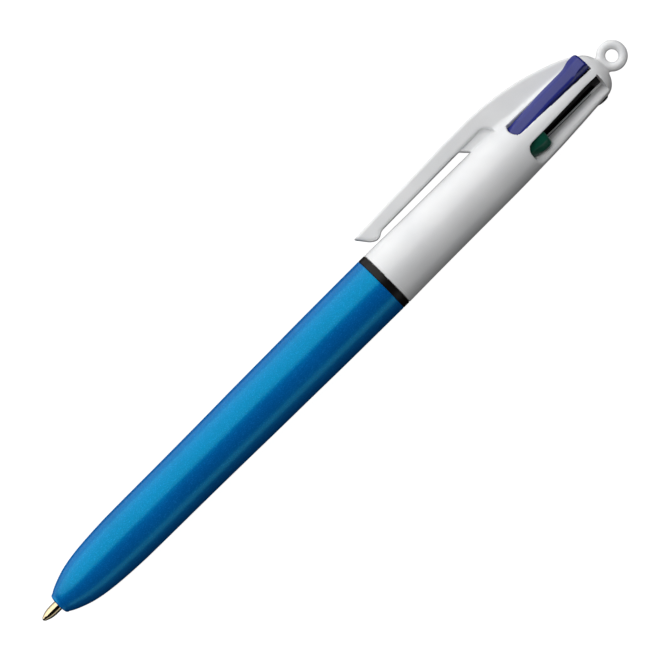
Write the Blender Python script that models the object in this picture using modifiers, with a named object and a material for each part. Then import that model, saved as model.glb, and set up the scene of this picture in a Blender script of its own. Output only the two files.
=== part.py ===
"""Four-colour click pen, modelled as the separate pieces that it is assembled from.

Pen frame: the tip of the extended point is at the origin, +Z runs along the axis towards the
lanyard ring, +X is the side that the clip is on and +Y is the front, between two slots.
An empty then lays the pen down: the nose at -X, the clip resting beside the barrel at +Y.
"""
import math

import bmesh
import bpy
from mathutils import Matrix, Vector

MM = 0.001
COLLECTION = "multicolor_click_pen"

# Driving dimensions, in millimetres along the axis from the extended point
LENGTH = 150.0
NOSE_Z = 4.15
LOWER_TOP_Z = 87.4
BAND_HEIGHT = 1.5
UPPER_Z = LOWER_TOP_Z + BAND_HEIGHT
UPPER_TOP_Z = 142.15
MAX_R = 5.94
SEAM = 0.05
ROUND_STEPS = 48

# Joint between the barrels
NIPPLE_Z = 78.0
NIPPLE_R = 4.85
SOCKET_R = 4.95
NIPPLE_BORE_R = 4.2
UPPER_BORE_R = 4.65
SHOULDER_Z = 87.1

# Slots and sliders: two at the front and two at the back, with wide ribs on the clip side
SLOT_FROM_FRONT = 34.0
SLOT_WIDTH = 3.7
SLOT_Z = 123.4
SLOT_CORNER = 1.2
SLOT_DEPTH_R = 1.4
RIB_Z = 122.6
LATCH_BORE_R = 2.35
SLIDER_WIDTH = 3.3
WEB_WIDTH = 1.2
TRAVEL_DOWN = 14.1
TRAVEL_IN = 1.45
SLIDE_SLOPE = TRAVEL_IN / TRAVEL_DOWN
LIP_R = 5.1
CHANNEL_END_R = 4.2
CHANNEL_SIDE_GAP = 0.03
SLIDER_GAP = 0.06
SLIDER_UNDER_R = 4.2
KNOB_R = 6.5
KNOB_START_Z = 138.2
KNOB_FULL_Z = 140.4
SLIDER_R = 5.95
SLIDER_TOP_Z = 142.0
FOOT_Z = 118.0
FOOT_HEIGHT = 4.2
FOOT_NEAR = 1.08
FOOT_FAR = 3.1
STEM_R = 0.68
STEM_LENGTH = 4.5

# Refills: each hangs from its slider's spigot and leans in towards the nose
SPIGOT_R = 2.95
RETRACTED_TIP_R = 2.2
REFILL_LENGTH = FOOT_Z - TRAVEL_DOWN
NIB_LENGTH = 12.0
TUBE_R = 1.05
TUBE_BORE_R = 0.8
TIP_R = 1.0
BALL_R = 0.35
SPRING_R = 1.31
SPRING_WIRE_R = 0.14
SPRING_SEAT_Z = 88.65
SPRING_TURNS = 7

# Clip, as distances from the axis
CLIP_WIDTH = 4.4
CLIP_WEB_WIDTH = 2.8
CLIP_INNER_R = 7.15
CLIP_END_Z = 89.6
CLIP_SPLIT_Z = 114.6
CLIP_HINGE_R = 10.2

# How the pen lies: the roll that brings the clip's edge down beside the barrel
CLIP_BELOW_LEVEL = 25.0
AXIS_HEIGHT = 6.63
SIDE_SHIFT = -1.83

COLOURS = {
    "blue": ((1, 1), (0.045, 0.045, 0.33)),
    "green": ((-1, 1), (0.01, 0.09, 0.055)),
    "black": ((-1, -1), (0.012, 0.012, 0.014)),
    "red": ((1, -1), (0.55, 0.015, 0.02)),
}
PRESSED = "green"

parts = bpy.data.collections.new(COLLECTION)
cutters = bpy.data.collections.new("cutters")


def clear_scene():
    for obj in list(bpy.data.objects):
        bpy.data.objects.remove(obj, do_unlink=True)
    for collection in (parts, cutters):
        bpy.context.scene.collection.children.link(collection)


def paint(obj, colour, roughness=0.3, metallic=0.0, alpha=1.0):
    material = bpy.data.materials.new(obj.name + "_material")
    material.use_nodes = True
    shader = material.node_tree.nodes["Principled BSDF"]
    shader.inputs["Base Color"].default_value = (*colour, 1.0)
    shader.inputs["Roughness"].default_value = roughness
    shader.inputs["Metallic"].default_value = metallic
    shader.inputs["Alpha"].default_value = alpha
    obj.data.materials.clear()
    obj.data.materials.append(material)


def link(name, mesh, collection=None):
    obj = bpy.data.objects.new(name, mesh)
    (collection or parts).objects.link(obj)
    return obj


def as_cutter(obj):
    for collection in list(obj.users_collection):
        collection.objects.unlink(obj)
    cutters.objects.link(obj)
    obj.hide_render = True
    obj.display_type = "WIRE"
    return obj


def smooth(obj, angle=35.0):
    obj.data.shade_smooth()
    obj.data.set_sharp_from_angle(angle=math.radians(angle))


def turned(name, profile, steps=ROUND_STEPS):
    """A closed outline (radius, z) in millimetres, turned round Z. Its outer side runs downwards."""
    outline = bmesh.new()
    corners = [outline.verts.new((r * MM, 0, z * MM)) for r, z in profile]
    for i, corner in enumerate(corners):
        nearer = corners[(i + 1) % len(corners)]
        if abs(corner.co.x) > 1e-9 or abs(nearer.co.x) > 1e-9:
            outline.edges.new((corner, nearer))
    mesh = bpy.data.meshes.new(name)
    outline.to_mesh(mesh)
    outline.free()
    obj = link(name, mesh)
    screw = obj.modifiers.new("turn", "SCREW")
    screw.steps = screw.render_steps = steps
    screw.use_merge_vertices = True
    screw.merge_threshold = 1e-6
    return settled(obj)


def settled(obj):
    """Replace an object by the mesh that its modifiers or its curve give."""
    evaluated = obj.evaluated_get(bpy.context.evaluated_depsgraph_get())
    mesh = bpy.data.meshes.new_from_object(evaluated)
    work = bmesh.new()
    work.from_mesh(mesh)
    bmesh.ops.remove_doubles(work, verts=work.verts, dist=1e-6)
    bmesh.ops.recalc_face_normals(work, faces=work.faces)
    work.to_mesh(mesh)
    work.free()
    mesh.name = name = obj.name
    place = obj.matrix_world.copy()
    bpy.data.objects.remove(obj, do_unlink=True)
    new = link(name, mesh)
    new.matrix_world = place
    smooth(new)
    return new


def plate(name, outline, thickness, turn=0.0, bevel=0.0):
    """A flat outline (distance from the axis, z) in millimetres, given a thickness across it."""
    curve = bpy.data.curves.new(name, "CURVE")
    curve.dimensions = "2D"
    curve.fill_mode = "BOTH"
    curve.extrude = thickness * MM / 2
    spline = curve.splines.new("POLY")
    spline.points.add(len(outline) - 1)
    for point, (r, z) in zip(spline.points, outline):
        point.co = (r * MM, z * MM, 0, 1)
    spline.use_cyclic_u = True
    obj = link(name, curve)
    stand_up = Matrix.Rotation(math.radians(90), 4, "X")
    obj.matrix_world = Matrix.Rotation(math.radians(turn), 4, "Z") @ stand_up
    bpy.context.view_layer.update()
    obj = settled(obj)
    obj.data.transform(obj.matrix_world)
    obj.matrix_world = Matrix.Identity(4)
    if bevel:
        rounding = obj.modifiers.new("rounding", "BEVEL")
        rounding.width = bevel * MM
        rounding.segments = 2
        rounding.limit_method = "ANGLE"
        rounding.angle_limit = math.radians(50)
        bpy.context.view_layer.update()
        obj = settled(obj)
    return obj


def block(name, low, high):
    mesh = bpy.data.meshes.new(name)
    work = bmesh.new()
    bmesh.ops.create_cube(work, size=1.0)
    low, high = Vector(low) * MM, Vector(high) * MM
    size = high - low
    shape = Matrix.Translation((low + high) / 2) @ Matrix.Diagonal((*size, 1))
    bmesh.ops.transform(work, matrix=shape, verts=work.verts)
    work.to_mesh(mesh)
    work.free()
    return link(name, mesh)


def rod(name, radius, low, high, at=(0, 0), steps=24):
    mesh = bpy.data.meshes.new(name)
    work = bmesh.new()
    bmesh.ops.create_cone(
        work, cap_ends=True, segments=steps, depth=(high - low) * MM, radius1=radius * MM,
        radius2=radius * MM,
    )
    middle = Vector((*at, (low + high) / 2)) * MM
    bmesh.ops.translate(work, vec=middle, verts=work.verts)
    work.to_mesh(mesh)
    work.free()
    return link(name, mesh)


def combine(obj, tools, operation):
    """Join other solids to an object, or cut them out of it, one after another."""
    for tool in tools:
        as_cutter(tool)
        modifier = obj.modifiers.new(tool.name, "BOOLEAN")
        modifier.operation = operation
        modifier.solver = "EXACT"
        modifier.object = tool
        bpy.context.view_layer.update()
        obj = settled(obj)
    return obj


def put_origin(obj, point):
    """Move an object's origin to a point in millimetres and leave its shape where it is."""
    obj.data.transform(Matrix.Translation(-Vector(point) * MM))
    obj.location = Vector(point) * MM


def quadrant_point(signs, radius, z):
    """A point in millimetres on the diagonal of a colour's quadrant."""
    side = radius / math.sqrt(2)
    return Vector((signs[0] * side, signs[1] * side, z))


def travel(colour):
    """How far a colour's slider has moved from its retracted place."""
    signs = COLOURS[colour][0]
    if colour != PRESSED:
        return Vector((0, 0, 0))
    return quadrant_point(signs, -TRAVEL_IN, -TRAVEL_DOWN)


def sideways_start(signs, turn):
    """Half of the sideways drift in the slot, so that the thumb piece crosses its middle."""
    along_slot = Matrix.Rotation(math.radians(turn), 3, "Z") @ Vector((1, 0, 0))
    inward = quadrant_point(signs, -TRAVEL_IN, 0)
    drift = inward - inward.dot(along_slot) * along_slot
    return -drift / 2


def lower_barrel():
    outer = [
        (MAX_R, LOWER_TOP_Z), (5.87, 73), (5.76, 64), (5.67, 55), (5.53, 45.8), (5.44, 36.6), (5.34, 22),
        (5.2, 18.3), (5.07, 16.4), (4.92, 14.6), (4.72, 12.8), (4.44, 10.9), (4.06, 9.1), (3.44, 7.25),
        (2.6, 5.4), (2.15, 4.45), (1.85, NOSE_Z),
    ]
    bore = [
        (1.3, NOSE_Z), (1.3, 7.2), (3.3, 11.6), (4.05, 16.0), (4.3, 22), (4.6, 60), (4.6, NIPPLE_Z - 0.8),
        (SOCKET_R, NIPPLE_Z - 0.6), (SOCKET_R, LOWER_TOP_Z),
    ]
    obj = turned("lower_barrel", outer + bore)
    paint(obj, (0.0, 0.26, 0.56), 0.16)
    return obj


def band_ring():
    top, bottom = UPPER_Z - SEAM, LOWER_TOP_Z + SEAM
    obj = turned("band_ring", [(MAX_R, top), (MAX_R, bottom), (SOCKET_R, bottom), (SOCKET_R, top)])
    paint(obj, (0.01, 0.01, 0.012), 0.3)
    return obj


def slot_tools(turn):
    """The open slot, rounded at its lower end, and the channel that goes on under its lip."""
    half = SLOT_WIDTH / 2
    name = "slot_%d" % turn
    wide = block(name, (UPPER_BORE_R - 0.4, -half, SLOT_Z), (9.0, half, UPPER_TOP_Z + 1))
    ends = wide.modifiers.new("round_end", "BEVEL")
    ends.width = SLOT_CORNER * MM
    ends.segments = 3
    ends.limit_method = "WEIGHT"
    weights = wide.data.attributes.new("bevel_weight_edge", "FLOAT", "EDGE")
    for edge, weight in zip(wide.data.edges, weights.data):
        a, b = (wide.data.vertices[i].co for i in edge.vertices)
        weight.value = float(max(a.z, b.z) < (SLOT_Z + 1) * MM and abs(a.x - b.x) > MM)
    bpy.context.view_layer.update()
    wide = settled(wide)
    wide.data.transform(Matrix.Rotation(math.radians(turn), 4, "Z"))
    channel_width = SLOT_WIDTH - 2 * CHANNEL_SIDE_GAP
    lower_z = SLOT_Z - (LIP_R - CHANNEL_END_R) / SLIDE_SLOPE
    channel = plate(
        name + "_channel",
        [(SLOT_DEPTH_R, RIB_Z - 0.3), (CHANNEL_END_R, lower_z), (LIP_R, SLOT_Z),
         (LIP_R, SLOT_Z + 1.5), (LIP_R - 0.2, UPPER_TOP_Z + 0.9), (SLOT_DEPTH_R, UPPER_TOP_Z + 0.9)],
        channel_width, turn,
    )
    return [wide, channel]


def clip_root():
    """The raised root of the clip, and the thinner web that closes the gap behind its arm."""
    low = CLIP_SPLIT_Z + 2 * SEAM
    fin = plate(
        "clip_root",
        [(CLIP_INNER_R, low), (CLIP_HINGE_R, low), (10.3, 119.2), (10.1, 122.9), (9.7, 126.6), (9.07, 130.3),
         (8.08, 133.9), (6.9, 137.6), (6.0, 140.0), (4.4, UPPER_TOP_Z - 0.2), (4.0, 140.0), (5.0, 123.0),
         (5.65, 122.0), (6.3, 121.3), (6.9, 120.2), (CLIP_INNER_R, 119.0)],
        CLIP_WIDTH, 0.0, 0.7,
    )
    web_r = CLIP_INNER_R + 0.8
    web = plate(
        "clip_web",
        [(web_r, low + 0.3), (6.9, low + 0.5), (5.1, low + 2.3), (5.1, 123.5), (web_r, 120.5)],
        CLIP_WEB_WIDTH,
    )
    return [fin, web]


def upper_barrel():
    outer = [
        (4.5, UPPER_TOP_Z), (4.62, UPPER_TOP_Z - 0.12), (4.75, 137.6), (4.95, 135.8), (5.15, 132),
        (5.44, 128.4), (5.56, 123), (5.68, 117.5), (5.75, 103), (5.9, UPPER_Z + 0.1), (5.88, UPPER_Z),
        (NIPPLE_R, UPPER_Z), (NIPPLE_R, NIPPLE_Z + 0.3), (NIPPLE_R - 0.3, NIPPLE_Z),
    ]
    bore = [
        (NIPPLE_BORE_R, NIPPLE_Z), (NIPPLE_BORE_R, SHOULDER_Z), (UPPER_BORE_R, SHOULDER_Z),
        (UPPER_BORE_R, RIB_Z), (LATCH_BORE_R, RIB_Z), (LATCH_BORE_R, UPPER_TOP_Z),
    ]
    shell = turned("upper_barrel", outer + bore)
    shell = combine(shell, clip_root(), "UNION")
    tools = []
    for signs, _ in COLOURS.values():
        front = 90 - signs[0] * SLOT_FROM_FRONT
        tools += slot_tools(signs[1] * front)
    tools.append(block("rib_trim", (-0.7, -3.5, RIB_Z - 0.5), (0.7, 3.5, UPPER_TOP_Z + 0.5)))
    shell = combine(shell, tools, "DIFFERENCE")
    paint(shell, (0.82, 0.83, 0.84), 0.25)
    return shell


def clip_arm():
    outline = [
        (CLIP_INNER_R, CLIP_SPLIT_Z), (CLIP_HINGE_R, CLIP_SPLIT_Z), (10.1, 110), (9.97, 106.4), (9.75, 99),
        (9.55, 95.4), (9.44, 91.7), (9.3, CLIP_END_Z), (8.9, CLIP_END_Z + 0.1), (6.75, 91.5), (6.42, 92.1),
        (6.35, 92.9), (6.55, 93.6), (6.9, 94.4), (7.05, 95.4),
    ]
    obj = plate("clip_arm", outline, CLIP_WIDTH, 0.0, 0.5)
    put_origin(obj, (CLIP_HINGE_R, 0, CLIP_SPLIT_Z))
    paint(obj, (0.82, 0.83, 0.84), 0.25)
    return obj


def end_cap():
    ring_z, ring_major, ring_minor = 147.05, 2.06, 0.89
    base = UPPER_TOP_Z + SEAM
    dome = turned(
        "end_cap",
        [(0, 144.7), (1.2, 144.62), (2.07, 144.4), (3.07, 143.85), (3.72, 143.3), (4.27, 142.7),
         (4.46, base), (0, base)],
        36,
    )
    bpy.ops.mesh.primitive_torus_add(
        major_segments=36, minor_segments=12, major_radius=ring_major * MM, minor_radius=ring_minor * MM
    )
    ring = bpy.context.active_object
    ring.name = "lanyard_ring"
    place = Matrix.Translation((0, 0, ring_z * MM)) @ Matrix.Rotation(math.radians(90), 4, "X")
    ring.data.transform(place)
    cap = combine(dome, [ring], "UNION")
    paint(cap, (0.82, 0.83, 0.84), 0.25)
    return cap


def latch_post():
    top, foot = UPPER_TOP_Z - 0.05, RIB_Z + 0.2
    obj = turned(
        "latch_post",
        [(0, top), (1.0, top), (1.0, 127.2), (1.3, 126.8), (1.3, 125.6), (1.0, 125.2), (1.0, foot + 0.3),
         (0.7, foot), (0, foot)],
        24,
    )
    paint(obj, (0.012, 0.012, 0.014), 0.35)
    return obj


def spring_guide():
    disc = rod("spring_guide", 4.5, SHOULDER_Z + 0.1, SPRING_SEAT_Z - 0.1, steps=36)
    lobes = []
    for turn in (45, -45):
        slit = block("lobe_%d" % turn, (-3.95, -1.22, SHOULDER_Z - 1), (3.95, 1.22, SPRING_SEAT_Z + 1))
        slit.data.transform(Matrix.Rotation(math.radians(turn), 4, "Z"))
        lobes.append(slit)
    disc = combine(disc, lobes, "DIFFERENCE")
    paint(disc, (0.78, 0.78, 0.76), 0.4)
    return disc


def slider(colour):
    """Thumb piece in the slot, thin web through the slot, and the foot that carries the refill."""
    signs, tint = COLOURS[colour]
    turn = signs[1] * (90 - signs[0] * SLOT_FROM_FRONT)
    low = FOOT_Z + FOOT_HEIGHT - 0.6
    low_r = LIP_R - SLIDER_GAP + SLIDE_SLOPE * (low - SLOT_Z)
    level_z = SLOT_Z + (SLIDER_R - LIP_R + SLIDER_GAP) / SLIDE_SLOPE
    cap = [
        (SLIDER_UNDER_R, low), (low_r - 0.3, low), (low_r + 0.03, low + 0.4), (SLIDER_R, level_z),
        (SLIDER_R, KNOB_START_Z), (KNOB_R, KNOB_FULL_Z), (KNOB_R, SLIDER_TOP_Z - 0.4),
        (KNOB_R - 0.4, SLIDER_TOP_Z), (SLIDER_UNDER_R, SLIDER_TOP_Z),
    ]
    body = plate("slider_" + colour, cap, SLIDER_WIDTH, turn)
    web_top = SLIDER_TOP_Z - 0.4
    web = plate("web_" + colour, [(2.9, low), (4.6, low), (4.6, web_top), (2.9, web_top)], WEB_WIDTH, turn)
    for finger in (body, web):
        finger.data.transform(Matrix.Translation(sideways_start(signs, turn) * MM))
    near, far = FOOT_NEAR, FOOT_FAR
    corners = sorted((signs[0] * near, signs[0] * far)), sorted((signs[1] * near, signs[1] * far))
    foot = block(
        "foot_" + colour,
        (corners[0][0], corners[1][0], FOOT_Z), (corners[0][1], corners[1][1], FOOT_Z + FOOT_HEIGHT),
    )
    stem_at = quadrant_point(signs, SPIGOT_R, 0)
    stem = rod("stem_" + colour, STEM_R, FOOT_Z - STEM_LENGTH, FOOT_Z + 1.0, stem_at.xy, 16)
    body = combine(body, [web, foot, stem], "UNION")
    put_origin(body, quadrant_point(signs, SPIGOT_R, FOOT_Z))
    body.location += travel(colour) * MM
    paint(body, tint, 0.3)
    return body


def refill(colour):
    """Tube, writing point and ball, hanging from an empty at the spigot that carries their lean."""
    signs, tint = COLOURS[colour]
    lean = RETRACTED_TIP_R - SPIGOT_R if colour != PRESSED else TRAVEL_IN - SPIGOT_R
    hanger = bpy.data.objects.new("refill_hanger_" + colour, None)
    parts.objects.link(hanger)
    hanger.location = (quadrant_point(signs, SPIGOT_R, FOOT_Z) + travel(colour)) * MM
    down = quadrant_point(signs, lean, -REFILL_LENGTH).normalized()
    hanger.rotation_mode = "QUATERNION"
    hanger.rotation_quaternion = (-down).to_track_quat("Z", "Y")
    point = -REFILL_LENGTH
    shank = point + NIB_LENGTH
    tube_top = -0.2
    tube = turned(
        "ink_tube_" + colour,
        [(TUBE_R, tube_top), (TUBE_R, shank + 0.1), (TUBE_BORE_R, shank + 0.1), (TUBE_BORE_R, tube_top)], 20,
    )
    paint(tube, tint, 0.2, alpha=0.8)
    socket_r, socket_z, lip_z = BALL_R + 0.03, point + 0.8, point + 0.25
    tip = turned(
        "writing_tip_" + colour,
        [(0, shank + 4), (TUBE_BORE_R - 0.06, shank + 4), (TUBE_BORE_R - 0.06, shank), (TIP_R, shank),
         (TIP_R, point + 2.6), (0.93, point + 1.9), (0.75, point + 1.15), (0.55, point + 0.6),
         (0.45, lip_z), (socket_r, lip_z), (socket_r, socket_z), (0, socket_z)], 24,
    )
    paint(tip, (0.75, 0.6, 0.35), 0.2, 1.0)
    mesh = bpy.data.meshes.new("tip_ball_" + colour)
    work = bmesh.new()
    bmesh.ops.create_uvsphere(work, u_segments=14, v_segments=9, radius=BALL_R * MM)
    bmesh.ops.translate(work, vec=(0, 0, (point + BALL_R) * MM), verts=work.verts)
    work.to_mesh(mesh)
    work.free()
    ball = link("tip_ball_" + colour, mesh)
    smooth(ball)
    paint(ball, (0.8, 0.8, 0.82), 0.1, 1.0)
    for piece in (tube, tip, ball):
        piece.parent = hanger
    return hanger


def return_spring(colour):
    """A coil round the refill, from the guide up to the underside of the slider's foot."""
    signs, _ = COLOURS[colour]
    top = quadrant_point(signs, SPIGOT_R, FOOT_Z) + travel(colour)
    tip_radius = 0.0 if colour == PRESSED else RETRACTED_TIP_R
    tip_z = top.z - REFILL_LENGTH
    tip = quadrant_point(signs, tip_radius, tip_z)
    start_z = SPRING_SEAT_Z + SPRING_WIRE_R + 0.05
    end_z = top.z - SPRING_WIRE_R - 0.1
    per_turn = 9
    count = SPRING_TURNS * per_turn + 1
    curve = bpy.data.curves.new("return_spring_" + colour, "CURVE")
    curve.dimensions = "3D"
    curve.bevel_depth = SPRING_WIRE_R * MM
    curve.bevel_resolution = 2
    curve.use_fill_caps = True
    spline = curve.splines.new("POLY")
    spline.points.add(count - 1)
    for i, point in enumerate(spline.points):
        share = i / (count - 1)
        closed_end = 1.0 / SPRING_TURNS
        rise = min(max((share - closed_end * 0.75) / (1 - closed_end * 1.5), 0.0), 1.0)
        lie = 2.2 * SPRING_WIRE_R
        z = start_z + lie * min(share / (closed_end * 0.75), 1.0)
        z += (end_z - start_z - 2 * lie) * rise + lie * max((share - 1) / (closed_end * 0.75) + 1, 0.0)
        middle = tip.lerp(top, (z - tip_z) / (top.z - tip_z))
        angle = 2 * math.pi * i / per_turn
        x = middle.x + SPRING_R * math.cos(angle)
        y = middle.y + SPRING_R * math.sin(angle)
        point.co = (x * MM, y * MM, z * MM, 1)
    obj = settled(link("return_spring_" + colour, curve))
    paint(obj, (0.6, 0.6, 0.62), 0.25, 1.0)
    return obj


def lay_down(pieces):
    """Parent the pieces to an empty that lays the pen on its side, nose towards -X."""
    frame = bpy.data.objects.new("pen_frame", None)
    parts.objects.link(frame)
    for piece in pieces:
        piece.parent = frame
    drop = math.radians(CLIP_BELOW_LEVEL)
    clip_side = Vector((0, math.cos(drop), -math.sin(drop)))
    front = Vector((0, math.sin(drop), math.cos(drop)))
    along = Vector((1, 0, 0))
    turn = Matrix((clip_side, front, along)).transposed().to_4x4()
    frame.matrix_world = Matrix.Translation(Vector((-LENGTH / 2, SIDE_SHIFT, AXIS_HEIGHT)) * MM) @ turn


def build():
    clear_scene()
    pieces = [
        lower_barrel(), band_ring(), upper_barrel(), clip_arm(), end_cap(), latch_post(), spring_guide(),
    ]
    for colour in COLOURS:
        pieces += [slider(colour), refill(colour), return_spring(colour)]
    lay_down(pieces)
    bpy.context.view_layer.update()


build()
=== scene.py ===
"""Looks of the four-colour click pen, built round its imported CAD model."""
import math

import bmesh
import bpy
import numpy as np
from mathutils import Matrix, Vector


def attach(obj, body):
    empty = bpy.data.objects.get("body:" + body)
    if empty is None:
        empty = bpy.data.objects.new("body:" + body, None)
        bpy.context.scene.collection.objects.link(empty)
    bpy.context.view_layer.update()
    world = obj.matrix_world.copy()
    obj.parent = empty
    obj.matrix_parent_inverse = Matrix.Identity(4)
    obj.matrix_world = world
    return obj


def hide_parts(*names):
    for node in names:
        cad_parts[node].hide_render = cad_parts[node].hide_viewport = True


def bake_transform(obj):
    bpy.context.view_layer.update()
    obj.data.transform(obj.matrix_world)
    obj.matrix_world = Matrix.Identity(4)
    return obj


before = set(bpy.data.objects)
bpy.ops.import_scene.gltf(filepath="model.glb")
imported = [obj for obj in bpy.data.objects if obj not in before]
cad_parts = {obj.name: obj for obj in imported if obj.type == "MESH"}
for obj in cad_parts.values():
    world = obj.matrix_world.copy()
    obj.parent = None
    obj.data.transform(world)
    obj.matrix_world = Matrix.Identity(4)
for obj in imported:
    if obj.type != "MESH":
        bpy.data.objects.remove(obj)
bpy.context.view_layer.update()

# ---------------------------------------------------------------- pen frame, in millimetres
# The pen's own axes: origin at the extended point, +Z to the lanyard ring, +X to the clip,
# +Y to the front between two slots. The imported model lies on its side.
MM = 0.001
LENGTH = 150.0
NOSE_Z = 4.15
LOWER_TOP_Z = 87.4
UPPER_Z = 88.9
TOP_Z = 142.15
MAX_R = 5.94
UPPER_BORE_R = 4.65
NIPPLE_R = 4.72
NIPPLE_BORE_R = 4.2
NIPPLE_Z = 78.0
SOCKET_R = 4.95
POST_BORE_R = 1.95
THREAD_PITCH = 1.6
AXIS_HEIGHT = 6.63
SIDE_SHIFT = -1.83
CLIP_DROP = math.radians(25.0)

SLOT_FROM_FRONT = 34.0
SLOT_HALF = 1.85
SLOT_Z = 123.4
SLOT_MIDDLE_Z = 132.77
SLOT_HALF_LENGTH = 9.37
RIB_Z = 122.6
LIP_R = 5.1
TRAVEL_DOWN = 14.1
TRAVEL_IN = 1.45
SLIDE_SLOPE = TRAVEL_IN / TRAVEL_DOWN
FOOT_Z = 118.0
SPIGOT_R = 2.95
RETRACTED_TIP_R = 2.2
REFILL_LENGTH = FOOT_Z - TRAVEL_DOWN
TIP_R = 1.0
BALL_R = 0.35
CLIP_CUT_Z = 113.2

QUADRANTS = {"blue": (1, 1), "green": (-1, 1), "black": (-1, -1), "red": (1, -1)}
PRESSED = "green"

clip_side = Vector((0, math.cos(CLIP_DROP), -math.sin(CLIP_DROP)))
front_side = Vector((0, math.sin(CLIP_DROP), math.cos(CLIP_DROP)))
along = Vector((1, 0, 0))
PEN = Matrix.Translation(Vector((-LENGTH / 2, SIDE_SHIFT, AXIS_HEIGHT)) * MM) @ (
    Matrix((clip_side, front_side, along)).transposed().to_4x4() @ Matrix.Scale(MM, 4)
)


def pen_point(x, y, z):
    return PEN @ Vector((x, y, z))


# ---------------------------------------------------------------- small geometry helpers
def smooth_curve(points):
    """A smooth function through (z, value) points that doesn't swing past them."""
    z = np.array([p[0] for p in points], float)
    v = np.array([p[1] for p in points], float)
    step = np.diff(z)
    slope = np.diff(v) / step
    tangent = np.zeros(len(z))
    tangent[0], tangent[-1] = slope[0], slope[-1]
    for i in range(1, len(z) - 1):
        a, b = slope[i - 1], slope[i]
        if a * b > 0:
            w1, w2 = 2 * step[i] + step[i - 1], step[i] + 2 * step[i - 1]
            tangent[i] = (w1 + w2) / (w1 / a + w2 / b)

    def value(at):
        at = np.clip(at, z[0], z[-1])
        i = np.clip(np.searchsorted(z, at) - 1, 0, len(step) - 1)
        t = (at - z[i]) / step[i]
        h = step[i]
        return (
            (2 * t**3 - 3 * t**2 + 1) * v[i] + (t**3 - 2 * t**2 + t) * h * tangent[i]
            + (3 * t**2 - 2 * t**3) * v[i + 1] + (t**3 - t**2) * h * tangent[i + 1]
        )

    return value


def soft_min(a, b, k):
    """Union of two distance fields, with a fillet of about k."""
    h = np.clip(0.5 + 0.5 * (b - a) / k, 0, 1)
    return b + (a - b) * h - k * h * (1 - h)


def soft_max(a, b, k):
    """What two distance fields share, with the edge rounded by about k."""
    return -soft_min(-a, -b, k)


def ramp(value, low, high):
    """0 below low, 1 above high, smooth between."""
    t = np.clip((value - low) / (high - low), 0, 1)
    return t * t * (3 - 2 * t)


def spaced(*stretches):
    """Grid planes from (start, stop, spacing) stretches that follow each other."""
    planes = []
    for start, stop, spacing in stretches:
        planes.append(np.linspace(start, stop, max(2, round((stop - start) / spacing)) + 1)[:-1])
    return np.append(np.concatenate(planes), stretches[-1][1])


def surface_of(field, xs, ys, zs):
    """Vertices and quads of a distance field's zero surface, one vertex to a grid cell."""
    grid = np.meshgrid(xs, ys, zs, indexing="ij")
    values = field(*grid)
    inside = values < 0
    shape = tuple(n - 1 for n in values.shape)
    total, count = np.zeros(shape + (3,)), np.zeros(shape)
    for axis in range(3):
        others = [a for a in range(3) if a != axis]
        low = [slice(None)] * 3
        high = [slice(None)] * 3
        low[axis], high[axis] = slice(None, -1), slice(1, None)
        low, high = tuple(low), tuple(high)
        crossing = inside[low] != inside[high]
        gap = values[low] - values[high]
        share = np.where(crossing, values[low] / np.where(gap == 0, 1, gap), 0)
        point = np.stack([g[low] for g in grid], axis=-1)
        point[..., axis] += share * (grid[axis][high] - grid[axis][low])
        for da in (0, 1):
            for db in (0, 1):
                pick = [slice(None)] * 3
                pick[others[0]] = slice(da, da + shape[others[0]])
                pick[others[1]] = slice(db, db + shape[others[1]])
                pick = tuple(pick)
                total += point[pick] * crossing[pick][..., None]
                count += crossing[pick]
    active = count > 0
    number = np.full(shape, -1)
    number[active] = np.arange(active.sum())
    verts = total[active] / count[active][:, None]
    quads = []
    for axis in range(3):
        a, b = [(1, 2), (2, 0), (0, 1)][axis]
        low = [slice(1, -1)] * 3
        high = [slice(1, -1)] * 3
        low[axis], high[axis] = slice(None, -1), slice(1, None)
        start, end = inside[tuple(low)], inside[tuple(high)]

        def cells(da, db):
            pick = [None] * 3
            pick[axis] = slice(None)
            pick[a] = slice(1 - da, number.shape[a] - da)
            pick[b] = slice(1 - db, number.shape[b] - db)
            return number[tuple(pick)]

        ring = np.stack([cells(1, 1), cells(0, 1), cells(0, 0), cells(1, 0)], axis=-1)
        leaving, entering = start & ~end, ~start & end
        quads.append(ring[leaving])
        quads.append(ring[entering][:, ::-1])
    return settle_on(field, verts, np.diff(xs).min()), np.concatenate(quads)


def settle_on(field, verts, reach):
    """Move each vertex along the field's slope until it lies on the surface."""
    start = verts.copy()
    for _ in range(3):
        here = field(*verts.T)
        slope = np.zeros_like(verts)
        for axis in range(3):
            nudge = np.zeros(3)
            nudge[axis] = 0.004
            slope[:, axis] = (field(*(verts + nudge).T) - field(*(verts - nudge).T)) / 0.008
        steep = np.maximum((slope**2).sum(axis=1), 0.05)
        verts = verts - slope * (here / steep)[:, None]
        move = verts - start
        far = np.linalg.norm(move, axis=1, keepdims=True)
        verts = start + move * np.minimum(1, 0.6 * reach / np.maximum(far, 1e-9))
    return verts


def new_piece(name, verts, faces, place=PEN, sharp_angle=40.0):
    """A smooth-shaded object from points in pen millimetres."""
    mesh = bpy.data.meshes.new(name)
    mesh.from_pydata([tuple(v) for v in verts], [], [tuple(f) for f in faces])
    mesh.transform(place)
    mesh.update()
    mesh.shade_smooth()
    mesh.set_sharp_from_angle(angle=math.radians(sharp_angle))
    obj = bpy.data.objects.new(name, mesh)
    bpy.context.scene.collection.objects.link(obj)
    return obj


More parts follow.
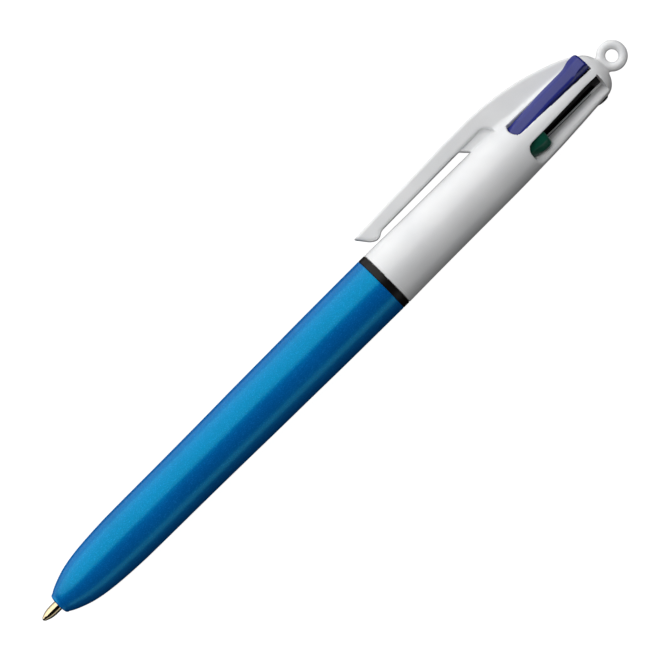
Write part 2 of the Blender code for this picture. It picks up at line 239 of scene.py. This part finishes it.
def turned(name, outline, steps=128, place=PEN, sharp_angle=40.0):
    """A closed outline of (radius, z) points turned round Z; it runs down the outer side."""
    verts, faces, rings = [], [], []
    for r, z in outline:
        if r < 1e-6:
            rings.append([len(verts)] * steps)
            verts.append((0, 0, z))
            continue
        rings.append(list(range(len(verts), len(verts) + steps)))
        for i in range(steps):
            angle = 2 * math.pi * i / steps
            verts.append((r * math.cos(angle), r * math.sin(angle), z))
    for ring, following in zip(rings, rings[1:] + rings[:1]):
        for i in range(steps):
            j = (i + 1) % steps
            corners = [ring[i], following[i], following[j], ring[j]]
            corners = [c for n, c in enumerate(corners) if c not in corners[:n]]
            if len(corners) > 2:
                faces.append(corners)
    return new_piece(name, verts, faces, place, sharp_angle)


def arc(centre, radius, start, stop, count):
    """Points on a round corner of an outline, angles in degrees."""
    angles = [math.radians(start + (stop - start) * i / (count - 1)) for i in range(count)]
    return [(centre[0] + radius * math.cos(a), centre[1] + radius * math.sin(a)) for a in angles]


# ---------------------------------------------------------------- materials
MOULD_RIPPLE = 0.012
MOULD_RIPPLE_SCALE = 900.0
FLECK_SCALE = 5200.0
# A colour mix node repeats its socket names, so its colour sockets go by number.
MIX_FIRST_COLOUR = 6
MIX_SECOND_COLOUR = 7
MIX_COLOUR_RESULT = 2


def plastic(name, colour, roughness, coat=0.4, coat_roughness=0.05, tint=None, pearl=0.0,
            pearl_tint=(1, 1, 1), ior=1.49, subsurface=0.0, fleck=None):
    """Moulded plastic: slightly uneven colour and gloss, the faint ripple of its mould, and
    for a pearly plastic very fine flecks of the fleck colour."""
    material = bpy.data.materials.new(name)
    material.use_nodes = True
    nodes, links = material.node_tree.nodes, material.node_tree.links
    shader = nodes["Principled BSDF"]
    shader.inputs["Coat Weight"].default_value = coat
    shader.inputs["Coat Roughness"].default_value = coat_roughness
    shader.inputs["IOR"].default_value = ior
    shader.inputs["Specular IOR Level"].default_value = 0.5 + pearl
    shader.inputs["Specular Tint"].default_value = (*pearl_tint, 1)
    shader.inputs["Subsurface Weight"].default_value = subsurface
    shader.inputs["Subsurface Radius"].default_value = (0.0012, 0.001, 0.0008)
    shader.inputs["Subsurface Scale"].default_value = 1.0
    place = nodes.new("ShaderNodeTexCoord")
    cloud = nodes.new("ShaderNodeTexNoise")
    cloud.inputs["Scale"].default_value = 120.0
    cloud.inputs["Detail"].default_value = 3.0
    links.new(place.outputs["Object"], cloud.inputs["Vector"])
    shades = nodes.new("ShaderNodeValToRGB")
    low = [c * 0.94 for c in colour]
    high = list(tint or [min(1.0, c * 1.05) for c in colour])
    shades.color_ramp.elements[0].position = 0.3
    shades.color_ramp.elements[1].position = 0.7
    shades.color_ramp.elements[0].color = (*low, 1)
    shades.color_ramp.elements[1].color = (*high, 1)
    links.new(cloud.outputs["Fac"], shades.inputs["Fac"])
    surface_colour = shades.outputs["Color"]
    if fleck:
        flakes = nodes.new("ShaderNodeTexNoise")
        flakes.inputs["Scale"].default_value = FLECK_SCALE
        flakes.inputs["Detail"].default_value = 1.0
        links.new(place.outputs["Object"], flakes.inputs["Vector"])
        picked = nodes.new("ShaderNodeMapRange")
        picked.inputs["From Min"].default_value = 0.52
        picked.inputs["From Max"].default_value = 0.75
        links.new(flakes.outputs["Fac"], picked.inputs["Value"])
        mix = nodes.new("ShaderNodeMix")
        mix.data_type = "RGBA"
        mix.inputs[MIX_SECOND_COLOUR].default_value = (*fleck, 1)
        links.new(picked.outputs["Result"], mix.inputs["Factor"])
        links.new(surface_colour, mix.inputs[MIX_FIRST_COLOUR])
        surface_colour = mix.outputs[MIX_COLOUR_RESULT]
    links.new(surface_colour, shader.inputs["Base Color"])
    gloss = nodes.new("ShaderNodeMapRange")
    gloss.inputs["To Min"].default_value = roughness * 0.88
    gloss.inputs["To Max"].default_value = roughness * 1.12
    links.new(cloud.outputs["Fac"], gloss.inputs["Value"])
    links.new(gloss.outputs["Result"], shader.inputs["Roughness"])
    grain = nodes.new("ShaderNodeTexNoise")
    grain.inputs["Scale"].default_value = MOULD_RIPPLE_SCALE
    grain.inputs["Detail"].default_value = 2.0
    links.new(place.outputs["Object"], grain.inputs["Vector"])
    relief = nodes.new("ShaderNodeBump")
    relief.inputs["Strength"].default_value = MOULD_RIPPLE
    relief.inputs["Distance"].default_value = 0.0002
    links.new(grain.outputs["Fac"], relief.inputs["Height"])
    links.new(relief.outputs["Normal"], shader.inputs["Normal"])
    return material


def metal(name, colour, roughness, stretch=(1, 1, 1), scale=400.0, bump=0.05):
    """Turned or drawn metal with fine tool marks round or along it."""
    material = bpy.data.materials.new(name)
    material.use_nodes = True
    nodes, links = material.node_tree.nodes, material.node_tree.links
    shader = nodes["Principled BSDF"]
    shader.inputs["Metallic"].default_value = 1.0
    place = nodes.new("ShaderNodeTexCoord")
    lay = nodes.new("ShaderNodeMapping")
    lay.inputs["Scale"].default_value = stretch
    marks = nodes.new("ShaderNodeTexNoise")
    marks.inputs["Scale"].default_value = scale
    marks.inputs["Detail"].default_value = 4.0
    links.new(place.outputs["Object"], lay.inputs["Vector"])
    links.new(lay.outputs["Vector"], marks.inputs["Vector"])
    shades = nodes.new("ShaderNodeValToRGB")
    shades.color_ramp.elements[0].position = 0.25
    shades.color_ramp.elements[1].position = 0.75
    shades.color_ramp.elements[0].color = (*[c * 0.82 for c in colour], 1)
    shades.color_ramp.elements[1].color = (*colour, 1)
    links.new(marks.outputs["Fac"], shades.inputs["Fac"])
    links.new(shades.outputs["Color"], shader.inputs["Base Color"])
    gloss = nodes.new("ShaderNodeMapRange")
    gloss.inputs["To Min"].default_value = roughness * 0.7
    gloss.inputs["To Max"].default_value = roughness * 1.3
    links.new(marks.outputs["Fac"], gloss.inputs["Value"])
    links.new(gloss.outputs["Result"], shader.inputs["Roughness"])
    relief = nodes.new("ShaderNodeBump")
    relief.inputs["Strength"].default_value = bump
    relief.inputs["Distance"].default_value = 0.0001
    links.new(marks.outputs["Fac"], relief.inputs["Height"])
    links.new(relief.outputs["Normal"], shader.inputs["Normal"])
    return material


BLUE_BARREL = plastic("blue_barrel_plastic", (0.0, 0.108, 0.41), 0.3, coat=0.11, coat_roughness=0.03,
                      tint=(0.0, 0.116, 0.43), pearl=0.6, pearl_tint=(0.0, 0.97, 1.0), ior=1.57,
                      fleck=(0.01, 0.2, 0.62))
WHITE = plastic("white_plastic", (0.80, 0.81, 0.82), 0.3, coat=0.12, subsurface=0.05,
                tint=(0.83, 0.835, 0.84))
BLACK = plastic("black_plastic", (0.006, 0.005, 0.005), 0.34, coat=0.0, tint=(0.012, 0.01, 0.009), ior=1.3)
INDIGO = plastic("indigo_plastic", (0.02, 0.026, 0.2), 0.1, coat=0.0, tint=(0.025, 0.032, 0.23))
GREEN = plastic("green_plastic", (0.002, 0.075, 0.045), 0.3, coat=0.1, tint=(0.003, 0.09, 0.055))
RED = plastic("red_plastic", (0.42, 0.010, 0.014), 0.3, coat=0.4, tint=(0.5, 0.014, 0.018))
NATURAL = plastic("natural_plastic", (0.70, 0.70, 0.68), 0.42, coat=0.1, subsurface=0.1)
BRASS = metal("brass", (0.88, 0.72, 0.45), 0.16, stretch=(12, 1, 1))
CARBIDE = metal("ball_carbide", (0.62, 0.62, 0.64), 0.14, scale=1500.0, bump=0.02)
STEEL = metal("spring_steel", (0.62, 0.62, 0.64), 0.24, scale=1200.0)


def place_material(obj, material):
    obj.data.materials.clear()
    obj.data.materials.append(material)


# ---------------------------------------------------------------- barrels
lower_radius = smooth_curve([
    (NOSE_Z + 0.5, 2.24), (5.4, 2.68), (7.25, 3.46), (9.1, 4.07), (10.9, 4.47), (12.8, 4.76),
    (14.6, 4.95), (18.3, 5.2), (22, 5.34), (36.6, 5.44), (45.8, 5.53), (55, 5.67), (64, 5.76),
    (73, 5.87), (LOWER_TOP_Z, MAX_R),
])


def make_lower_barrel():
    edge = 0.1
    outline = arc((MAX_R - edge, LOWER_TOP_Z - edge), edge, 90, 0, 5)
    heights = list(np.linspace(LOWER_TOP_Z - 0.6, 24, 44)) + list(np.linspace(23.4, NOSE_Z + 0.5, 46))
    outline += [(float(lower_radius(z)), z) for z in heights]
    outline += arc((1.76, NOSE_Z + 0.46), 0.46, -22, -90, 8)
    outline += arc((1.42, NOSE_Z + 0.12), 0.12, -90, -180, 4)
    bore = [(1.3, 7.2), (3.3, 11.6), (4.05, 16.0), (4.3, 22), (4.6, 60), (4.6, 77.2), (SOCKET_R, 77.4)]
    outline += bore + [(SOCKET_R, LOWER_TOP_Z - 0.12), (5.07, LOWER_TOP_Z)]
    barrel = turned("blue_lower_barrel", outline, 144)
    place_material(barrel, BLUE_BARREL)
    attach(barrel, "lower_barrel")
    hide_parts("lower_barrel")


def make_band():
    low, high, edge = LOWER_TOP_Z + 0.05, UPPER_Z - 0.05, 0.06
    outline = arc((MAX_R - edge, high - edge), edge, 90, 0, 4)
    outline += arc((MAX_R - edge, low + edge), edge, 0, -90, 4)
    outline += [(SOCKET_R, low), (SOCKET_R, high)]
    band = turned("black_band", outline, 144)
    place_material(band, BLACK)
    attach(band, "root")
    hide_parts("band_ring")


# ---------------------------------------------------------------- white upper barrel, clip and cap
white_radius = smooth_curve([
    (UPPER_Z, 5.93), (96, 5.82), (103, 5.76), (117.5, 5.68), (123, 5.56), (128.4, 5.40), (132, 5.2),
    (135.8, 4.97), (138.5, 4.78), (141.4, 4.62),
])
clip_back = smooth_curve([
    (88.0, 9.28), (91.7, 9.44), (95.4, 9.55), (99, 9.72), (102.7, 9.86), (106.4, 9.97),
    (110, 10.08), (113.7, 10.18), (119.2, 10.24), (122.9, 10.08), (126.6, 9.66), (130.3, 9.02),
    (133.9, 8.06), (137.6, 6.82), (140.0, 5.8), (142.6, 4.3),
])
clip_half_width = smooth_curve([(89, 1.75), (98, 2.0), (110, 2.15), (150, 2.15)])


def slot_coordinates(x, y, signs):
    """Distance out along a slot's middle plane, and sideways from that plane."""
    turn = math.radians(signs[1] * (90 - signs[0] * SLOT_FROM_FRONT))
    return x * math.cos(turn) + y * math.sin(turn), y * math.cos(turn) - x * math.sin(turn)


def cap_field(x, y, z):
    """Domed cap with the lanyard ring on it."""
    wide, tall, centre = 4.64, 3.28, 141.4
    r2 = x * x + y * y
    k0 = np.sqrt(r2 / wide**2 + ((z - centre) / tall) ** 2)
    k1 = np.sqrt(r2 / wide**4 + ((z - centre) / tall**2) ** 2)
    dome = k0 * (k0 - 1) / np.maximum(k1, 1e-6)
    ring = np.hypot(np.hypot(x, z - 147.06) - 2.06, y) - 0.87
    return soft_min(dome, ring, 0.7)


def clip_field(x, y, z):
    """The clip: a flat arm with a rounded foot, and its root that grows out of the barrel."""
    back = x - clip_back(z)
    rise = np.clip((z - 119.6) / 2.4, 0, 1)
    inner_line = 7.02 + 0.012 * (z - 95.0) - 2.6 * (1 - np.sqrt(1 - rise**2))
    inner_line = inner_line - 3.0 * np.maximum(z - 122.0, 0)
    inner = np.maximum(inner_line, 0) - x
    profile = soft_max(back, inner, 0.25)
    foot = np.hypot(x - 7.62, (z - 92.95) * 0.9) - 1.28
    profile = soft_min(profile, soft_max(foot, back, 0.2), 0.5)
    end_cut = -0.62 * (x - 9.32) - 0.785 * (z - 89.66)
    profile = soft_max(profile, end_cut, 0.22)
    profile = soft_max(profile, z - 142.4, 0.5)
    thick = soft_max(profile, np.abs(y) - clip_half_width(z), 0.55)
    web_end = 114.75 + 0.95 * (7.2 - x)
    web = soft_max(np.abs(y) - 1.4, x - 8.0, 0.3)
    web = soft_max(web, web_end - z, 0.3)
    web = soft_max(web, z - 124, 0.3)
    web = soft_max(web, -x, 0.3)
    return thick, web


def white_field(x, y, z):
    """Distance field of the white barrel with its bore, nipple, slots, clip and cap."""
    r = np.hypot(x, y)
    body = soft_max(r - white_radius(z), z - 141.9, 0.1)
    body = np.maximum(body, UPPER_Z - z)
    body = soft_min(body, cap_field(x, y, z), 0.12)
    thick, web = clip_field(x, y, z)
    body = soft_min(body, web, 0.35)
    blend = 0.08 + 0.32 * ramp(z, 119, 123)
    blend = blend + 0.7 * ramp(z, 118.5, 121.5) * (1 - ramp(z, 122.5, 126.5))
    body = soft_min(body, thick, blend)
    for signs in QUADRANTS.values():
        out, side = slot_coordinates(x, y, signs)
        corner = np.where(z < SLOT_MIDDLE_Z, 1.7, 0.1)
        away = side * signs[0] * -signs[1]
        reach = np.maximum(out - 2.7, 0) if signs[0] < 0 else 0.0
        flared = (away - SLOT_HALF - 0.5 * reach**2) / np.sqrt(1 + reach**2)
        dx = np.maximum(-away - SLOT_HALF, flared) + corner
        dz = np.abs(z - SLOT_MIDDLE_Z) - SLOT_HALF_LENGTH + corner
        hole = np.minimum(np.maximum(dx, dz), 0)
        hole = hole + np.hypot(np.maximum(dx, 0), np.maximum(dz, 0)) - corner
        hole = np.maximum(hole, 1.4 - out)
        open_side = ramp(away, -0.8, 0.8)
        if signs[0] < 0:
            open_side = 0.5 + 0.5 * open_side
        scoop = 0.12 + 0.4 * open_side * ramp(z, 122, 124) * (1 - ramp(z, 139, 141.5))
        body = soft_max(body, -hole, scoop)
        lip = out - LIP_R - SLIDE_SLOPE * (z - SLOT_Z)
        under = np.maximum(np.abs(side) - SLOT_HALF + 0.03, lip)
        under = np.maximum(under, np.maximum(113.0 - z, 1.4 - out))
        under = np.maximum(under, z - SLOT_Z - 1.5)
        body = np.maximum(body, -under)
    hollow = np.maximum(r - UPPER_BORE_R, np.maximum(z - RIB_Z, UPPER_Z - 1.8 - z))
    middle = np.maximum(r - POST_BORE_R, z - TOP_Z)
    trim = np.maximum(np.abs(x) - 0.7, np.abs(y) - 3.5)
    trim = np.maximum(trim, np.maximum(RIB_Z - z, z - TOP_Z))
    middle = np.maximum(np.minimum(middle, trim), RIB_Z - 1 - z)
    body = np.maximum(body, -np.minimum(hollow, middle))
    thread = 0.12 * np.maximum(0, np.sin((z + np.arctan2(y, x) / math.pi) * 2 * math.pi / THREAD_PITCH))
    thread = thread * ramp(z, 79, 80) * (1 - ramp(z, 86, 87))
    nipple = np.maximum(r - NIPPLE_R - thread, np.maximum(NIPPLE_Z - z, z - UPPER_Z - 0.2))
    nipple = soft_max(nipple, NIPPLE_Z - 0.25 + (r - NIPPLE_BORE_R) * 0.5 - z, 0.1)
    nipple = np.maximum(nipple, NIPPLE_BORE_R - r)
    nipple = np.maximum(nipple, np.minimum(UPPER_BORE_R - r, z - 87.1))
    return np.minimum(body, nipple)


def split_quads(verts, quads, keep):
    """The kept quads, with only the vertices that they use."""
    used = np.unique(quads[keep])
    number = np.full(len(verts), -1)
    number[used] = np.arange(len(used))
    return verts[used], number[quads[keep]]


def closed_with_caps(obj):
    """Close the flat cut where a piece was parted, with sharp edges round the cap."""
    work = bmesh.new()
    work.from_mesh(obj.data)
    rim = [e for e in work.edges if len(e.link_faces) == 1]
    if rim:
        made = bmesh.ops.holes_fill(work, edges=rim, sides=0)
        for face in made["faces"]:
            face.smooth = False
            for edge in face.edges:
                edge.smooth = False
    bmesh.ops.recalc_face_normals(work, faces=work.faces)
    work.to_mesh(obj.data)
    work.free()


def make_white_parts():
    fine = 0.2
    xs = spaced((-6.3, 6.3, fine), (6.3, 10.9, 0.25))
    ys = spaced((-6.3, 6.3, fine))
    zs = spaced((77.4, 96.0, 0.4), (96.0, 112.0, 0.8), (112.0, 119.0, 0.3), (119.0, 126.4, 0.17),
                (126.4, 139.0, 0.4), (139.0, 144.0, 0.2), (144.0, 150.6, 0.25))
    verts, quads = surface_of(white_field, xs, ys, zs)
    centres = verts[quads].mean(axis=1)
    arm = (centres[:, 0] > 6.12) & (centres[:, 2] < CLIP_CUT_Z)
    shell = new_piece("white_upper_barrel", *split_quads(verts, quads, ~arm))
    clip = new_piece("white_clip_arm", *split_quads(verts, quads, arm))
    for piece in (shell, clip):
        closed_with_caps(piece)
        place_material(piece, WHITE)
    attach(shell, "root")
    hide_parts("upper_barrel", "end_cap")
    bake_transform(clip)
    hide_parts("clip_arm")


# ---------------------------------------------------------------- sliders
FINGER_HALF = 1.65
FINGER_SLOPES = [(0.1, 0.0), (1.25, 0.56), (FINGER_HALF, 0.84)]
FINGER_UNDER_R = 4.2
FINGER_LOW_Z = 121.6
FINGER_TOP_Z = 142.08
FINGER_LOW_ROUND = 0.5
FINGER_TOP_ROUND = 0.9
EDGE = 0.06
slider_height = smooth_curve([
    (119.0, 4.59), (121.6, 4.85), (125.0, 5.2), (128.0, 5.51), (131.0, 5.8), (133.0, 5.94), (137.0, 6.0),
    (138.6, 6.14), (140.2, 6.5), (141.2, 6.56), (142.6, 6.56),
])


def travel(colour):
    """How far a slider is moved from its raised place in the pose at rest."""
    signs = QUADRANTS[colour]
    side = TRAVEL_IN / math.sqrt(2)
    if colour != PRESSED:
        return np.zeros(3)
    return np.array([-signs[0] * side, -signs[1] * side, -TRAVEL_DOWN])


def sideways_start(signs):
    """Half of the sideways drift, because the slider moves towards the corner of its quadrant."""
    turn = math.radians(signs[1] * (90 - signs[0] * SLOT_FROM_FRONT))
    drift = -TRAVEL_IN / math.sqrt(2) * (signs[1] * math.cos(turn) - signs[0] * math.sin(turn))
    return -drift / 2


def finger_section(z, inset):
    """Cross-section of a thumb piece, (sideways, out): a narrow crown between two slopes,
    flatter on the knob."""
    height = float(slider_height(z)) - inset
    squeeze = 1 - 0.15 * inset
    steep = 1 - 0.45 * float(ramp(z, 138.2, 140.2))
    right = [(half * squeeze, max(height - steep * drop, FINGER_UNDER_R + 0.1))
             for half, drop in FINGER_SLOPES]
    right.append((FINGER_HALF * squeeze, FINGER_UNDER_R))
    corners = right[::-1] + [(-side, out) for side, out in right]
    section = []
    for i, corner in enumerate(corners):
        here = np.array(corner)
        for other in (corners[i - 1], corners[(i + 1) % len(corners)]):
            away = np.array(other) - here
            section.append(here + away / np.linalg.norm(away) * EDGE)
    return section


def finger(colour):
    """The thumb piece, lofted along the slot and rounded over at both ends."""
    signs = QUADRANTS[colour]
    turn = math.radians(signs[1] * (90 - signs[0] * SLOT_FROM_FRONT))
    offset = sideways_start(signs)
    angles = [math.radians(90 * i / 6) for i in range(7)]
    low_end = [(FINGER_LOW_Z + FINGER_LOW_ROUND * (1 - math.sin(a)), FINGER_LOW_ROUND * (1 - math.cos(a)))
               for a in reversed(angles)]
    middle = [(z, 0.0) for z in np.linspace(FINGER_LOW_Z + 0.9, FINGER_TOP_Z - 1.2, 48)]
    top_end = [(FINGER_TOP_Z - FINGER_TOP_ROUND * (1 - math.sin(a)), FINGER_TOP_ROUND * (1 - math.cos(a)))
               for a in angles]
    stations = low_end + middle + top_end
    verts, faces = [], []
    for z, inset in stations:
        section = finger_section(z, inset)
        for side, out in section:
            side += offset
            verts.append((out * math.cos(turn) - side * math.sin(turn),
                          out * math.sin(turn) + side * math.cos(turn), z))
    around = len(verts) // len(stations)
    for i in range(len(stations) - 1):
        for k in range(around):
            low, high = i * around, (i + 1) * around
            faces.append((low + k, low + (k + 1) % around, high + (k + 1) % around, high + k))
    faces.append(tuple(range(around))[::-1])
    faces.append(tuple(range(len(verts) - around, len(verts))))
    return np.array(verts), faces


def foot_field(colour):
    """Thin web through the slot, the foot that carries the refill, and its spigot."""
    signs = QUADRANTS[colour]
    offset = sideways_start(signs)

    def field(x, y, z):
        out, side = slot_coordinates(x, y, signs)
        side = side - offset
        web = np.maximum(np.abs(side) - 0.6, 2.9 - out)
        web = np.maximum(web, np.maximum(out - FINGER_UNDER_R, np.abs(z - 131.7) - 9.8))
        fx, fy = x * signs[0] - 2.09, y * signs[1] - 2.09
        foot = soft_max(np.maximum(np.abs(fx), np.abs(fy)) - 1.0, np.abs(z - 120.1) - 2.08, 0.1)
        stem_at = SPIGOT_R / math.sqrt(2)
        stem = np.hypot(x * signs[0] - stem_at, y * signs[1] - stem_at) - 0.68
        stem = np.maximum(stem, np.abs(z - 116.0) - 2.4)
        return soft_min(stem, soft_min(web, foot, 0.15), 0.12)

    return field


def make_sliders():
    finishes = {
        "blue": (INDIGO, "indigo_plastic"), "green": (GREEN, "green_plastic"),
        "black": (BLACK, "black_plastic"), "red": (RED, "red_plastic"),
    }
    for colour, signs in QUADRANTS.items():
        xs, ys = [spaced((min(s * 0.6, s * 5.0), max(s * 0.6, s * 5.0), 0.16)) for s in signs]
        zs = spaced((113.2, 117.6, 0.3), (117.6, 123, 0.16), (123, 142, 0.5))
        verts, quads = surface_of(foot_field(colour), xs, ys, zs)
        finger_verts, finger_faces = finger(colour)
        faces = [tuple(q) for q in quads]
        faces += [tuple(i + len(verts) for i in face) for face in finger_faces]
        verts = np.concatenate([verts, finger_verts]) + travel(colour)
        slider = new_piece("thumb_slider_" + colour, verts, faces, sharp_angle=14.0)
        closed_with_caps(slider)
        material, slot = finishes[colour]
        place_material(slider, material)
        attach(slider, "slider_" + colour)
        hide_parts("slider_" + colour)


# ---------------------------------------------------------------- refills and springs
def refill_place(colour):
    """Matrix that hangs a refill, made along -Z from its spigot, in its leaning place."""
    signs = QUADRANTS[colour]
    side = SPIGOT_R / math.sqrt(2)
    top = Vector((signs[0] * side, signs[1] * side, FOOT_Z)) + Vector(travel(colour))
    tip_r = 0.0 if colour == PRESSED else RETRACTED_TIP_R
    reach = tip_r / math.sqrt(2)
    tip = Vector((signs[0] * reach, signs[1] * reach, top.z - REFILL_LENGTH))
    turn = (top - tip).to_track_quat("Z", "Y").to_matrix().to_4x4()
    return PEN @ Matrix.Translation(top) @ turn, top, tip


nib_radius = smooth_curve([(0.24, 0.42), (0.6, 0.56), (1.15, 0.77), (1.9, 0.94), (2.7, TIP_R)])


def make_refills():
    inks = {
        "blue": (0.02, 0.025, 0.26), "green": (0.004, 0.075, 0.04),
        "black": (0.012, 0.012, 0.014), "red": (0.36, 0.012, 0.018),
    }
    for colour in QUADRANTS:
        place, _, _ = refill_place(colour)
        point, shank = -REFILL_LENGTH, -REFILL_LENGTH + 12.0
        heights = [2.7 - 2.44 * i / 14 for i in range(15)]
        ogive = [(float(nib_radius(h)), point + h) for h in heights]
        outline = [(0.0, shank + 4), (0.6, shank + 4), (0.72, shank + 3.85), (0.72, shank)]
        outline += [(TIP_R - 0.08, shank), (TIP_R, shank - 0.08), (TIP_R, point + 6.0)] + ogive
        outline += [(0.39, point + 0.26), (0.385, point + 0.8), (0.0, point + 0.8)]
        nib = turned("brass_point_" + colour, outline, 64, place)
        place_material(nib, BRASS)
        ball_outline = [(0.0, point + 2 * BALL_R)] + arc((0, point + BALL_R), BALL_R, 80, -80, 17)
        ball = turned("point_ball_" + colour, ball_outline + [(0.0, point)], 32, place)
        place_material(ball, CARBIDE)
        wall = arc((0.99, -0.26), 0.06, 90, 0, 3) + arc((0.99, shank + 0.16), 0.06, 0, -90, 3)
        tube = turned("refill_tube_" + colour, wall + [(0.8, shank + 0.1), (0.8, -0.2)], 40, place)
        ink = plastic("refill_" + colour + "_plastic", inks[colour], 0.2, coat=0.6, coat_roughness=0.1)
        place_material(tube, ink)
        for piece, node in ((nib, "writing_tip_"), (ball, "tip_ball_"), (tube, "ink_tube_")):
            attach(piece, "refill_" + colour)
            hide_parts(node + colour)


def make_springs():
    turns, wire, coil, per_turn, sides = 11, 0.14, 1.31, 28, 8
    for colour in QUADRANTS:
        _, top, tip = refill_place(colour)
        low, high = 88.65 + wire + 0.05, top.z - wire - 0.1
        count = turns * per_turn + 1
        verts, faces = [], []
        closed = 0.75 / turns
        lie = 2.2 * wire
        for i in range(count):
            share = i / (count - 1)
            rise = min(max((share - closed) / (1 - 2 * closed), 0.0), 1.0)
            z = low + lie * min(share / closed, 1.0) + (high - low - 2 * lie) * rise
            z += lie * max((share - 1) / closed + 1, 0.0)
            middle = tip.lerp(top, (z - tip.z) / (top.z - tip.z))
            angle = 2 * math.pi * i / per_turn
            for k in range(sides):
                bend = 2 * math.pi * k / sides
                r = coil + wire * math.cos(bend)
                verts.append((middle.x + r * math.cos(angle), middle.y + r * math.sin(angle),
                              z + wire * math.sin(bend)))
            if i:
                a, b = (i - 1) * sides, i * sides
                faces += [(a + k, a + (k + 1) % sides, b + (k + 1) % sides, b + k) for k in range(sides)]
        faces.append(tuple(range(sides))[::-1])
        faces.append(tuple(range(len(verts) - sides, len(verts))))
        spring = new_piece("coil_spring_" + colour, verts, faces)
        closed_with_caps(spring)
        place_material(spring, STEEL)
        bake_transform(spring)
        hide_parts("return_spring_" + colour)


def finish_inner_pieces():
    # The latch post is made black so the middle between the slots reads dark: that dark stands partly for
    # the black slider behind it and partly for painted shade.
    post = turned("latch_post_painted_shade", [
        (0, TOP_Z - 0.05), (1.93, TOP_Z - 0.05), (1.93, 140.9), (1.34, 140.3), (1.34, 124.2), (1.1, 123.6),
        (0.7, 122.9), (0, 122.8),
    ], 64)
    place_material(post, BLACK)
    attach(post, "root")
    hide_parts("latch_post")
    place_material(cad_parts["spring_guide"], NATURAL)


# ---------------------------------------------------------------- floor, light and camera
CAMERA_TURN = math.radians(93.0)
PICTURE_TILT = math.radians(44.78)
PICTURE_WIDTH = 119.3
FOCUS = (2.0, 0.0, 74.9)
SOFTBOX_LENGTH = 2.4
WORLD_STRENGTH = 0.09
FLOOR_HALF = 4.0
FLOOR_GLOW = 0.95


def make_stage():
    corners = [(-1, -1), (1, -1), (1, 1), (-1, 1)]
    mesh = bpy.data.meshes.new("floor")
    mesh.from_pydata([(x * FLOOR_HALF, y * FLOOR_HALF, 0) for x, y in corners], [], [(0, 1, 2, 3)])
    floor = bpy.data.objects.new("floor", mesh)
    bpy.context.scene.collection.objects.link(floor)
    material = bpy.data.materials.new("pale_floor")
    material.use_nodes = True
    shader = material.node_tree.nodes["Principled BSDF"]
    shader.inputs["Base Color"].default_value = (0.35, 0.35, 0.35, 1)
    shader.inputs["Roughness"].default_value = 0.9
    shader.inputs["Specular IOR Level"].default_value = 0.0
    shader.inputs["Emission Color"].default_value = (1, 1, 1, 1)
    shader.inputs["Emission Strength"].default_value = FLOOR_GLOW
    floor.data.materials.append(material)
    floor.visible_glossy = False
    floor.visible_diffuse = False
    floor.visible_shadow = False


def view_axes():
    """Picture right, picture up and towards the camera, in the row's axes."""
    turn = PEN.to_3x3() @ Matrix.Scale(1 / MM, 3)
    towards = turn @ Vector((math.cos(CAMERA_TURN), math.sin(CAMERA_TURN), 0))
    clip_up = turn @ Vector((math.sin(CAMERA_TURN), -math.cos(CAMERA_TURN), 0))
    ahead = turn @ Vector((0, 0, 1))
    right = math.cos(PICTURE_TILT) * ahead - math.sin(PICTURE_TILT) * clip_up
    up = math.sin(PICTURE_TILT) * ahead + math.cos(PICTURE_TILT) * clip_up
    return right, up, towards


def make_camera():
    right, up, towards = view_axes()
    data = bpy.data.cameras.new("camera")
    data.lens = 150
    data.sensor_width = 36
    distance = PICTURE_WIDTH * MM * data.lens / data.sensor_width
    data.clip_start = 0.01
    camera = bpy.data.objects.new("camera", data)
    bpy.context.scene.collection.objects.link(camera)
    turn = Matrix((right, up, towards)).transposed().to_4x4()
    camera.matrix_world = Matrix.Translation(pen_point(*FOCUS) + towards * distance) @ turn
    bpy.context.scene.camera = camera


def area_light(name, side_angle, distance, width, power):
    """A long softbox beside the pen. side_angle is measured round the pen's axis, in degrees
    from the camera towards the clip side."""
    turn = PEN.to_3x3() @ Matrix.Scale(1 / MM, 3)
    around = CAMERA_TURN - math.radians(side_angle)
    direction = turn @ Vector((math.cos(around), math.sin(around), 0))
    ahead = turn @ Vector((0, 0, 1))
    data = bpy.data.lights.new(name, "AREA")
    data.shape = "RECTANGLE"
    data.size, data.size_y = SOFTBOX_LENGTH, width
    data.energy = power
    light = bpy.data.objects.new(name, data)
    bpy.context.scene.collection.objects.link(light)
    along_pen = ahead - direction * ahead.dot(direction)
    along_pen.normalize()
    across = direction.cross(along_pen)
    turn_light = Matrix((along_pen, across, direction)).transposed().to_4x4()
    light.matrix_world = Matrix.Translation(pen_point(*FOCUS) + direction * distance) @ turn_light
    return light


def make_lights():
    world = bpy.data.worlds.new("studio")
    world.use_nodes = True
    background = world.node_tree.nodes["Background"]
    background.inputs["Color"].default_value = (1, 1, 1, 1)
    background.inputs["Strength"].default_value = WORLD_STRENGTH
    world.cycles_visibility.glossy = False
    bpy.context.scene.world = world
    area_light("key_softbox", 53.5, 0.9, 1.65, 19.0)
    front_fill = area_light("front_fill", 24, 0.95, 0.6, 1.9)
    front_fill.visible_glossy = False
    area_light("rim_panel", 115, 0.9, 0.58, 2.5)
    area_light("side_strip", -73, 0.9, 0.4, 1.75)
    bpy.context.scene.view_settings.view_transform = "Standard"


make_stage()
make_camera()
make_lights()
make_lower_barrel()
make_band()
make_white_parts()
make_sliders()
make_refills()
make_springs()
finish_inner_pieces()
